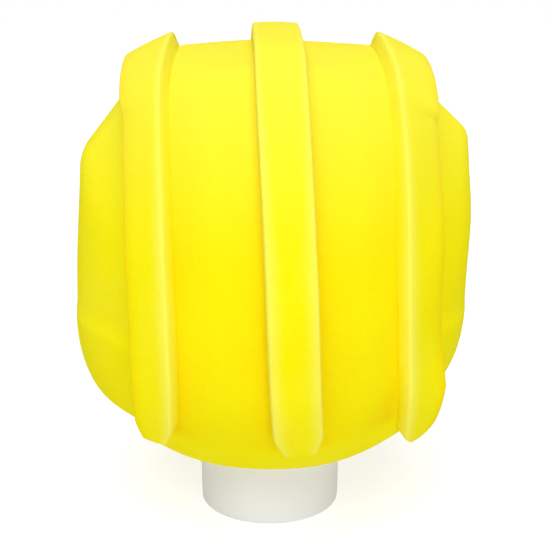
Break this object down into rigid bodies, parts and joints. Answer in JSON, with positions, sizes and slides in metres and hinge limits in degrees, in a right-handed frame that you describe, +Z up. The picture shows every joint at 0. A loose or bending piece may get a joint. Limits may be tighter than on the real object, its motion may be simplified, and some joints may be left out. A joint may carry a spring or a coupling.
{
  "type": "foam sponge head",
  "caption": "Rounded foam sponge head on a short white collar: a foam body under a strap of foam that runs front to back and carries parallel foam ribs",
  "frame": {"origin": "The middle of the object's bounding box in plan, at the foot of the collar", "axes": "+Z runs up from the collar through the foam, the front with the ribs faces -Y, and X runs across the ribs"},
  "size_m": [0.0968, 0.099, 0.1207],
  "materials": {
    "yellow_foam": "matt open-cell foam",
    "white_plastic": "satin moulded",
    "inner_plastic": "satin moulded",
    "steel": "zinc plated"
  },
  "bodies": {
    "root": {"collar": "white_plastic", "handle_socket": "inner_plastic", "retaining_disc": "inner_plastic", "washer": "steel", "disc_screw": "steel", "foam_body": "yellow_foam", "foam_strap": "yellow_foam", "centre_rib": "yellow_foam", "left_rib": "yellow_foam", "right_rib": "yellow_foam"}
  },
  "joints": []
}
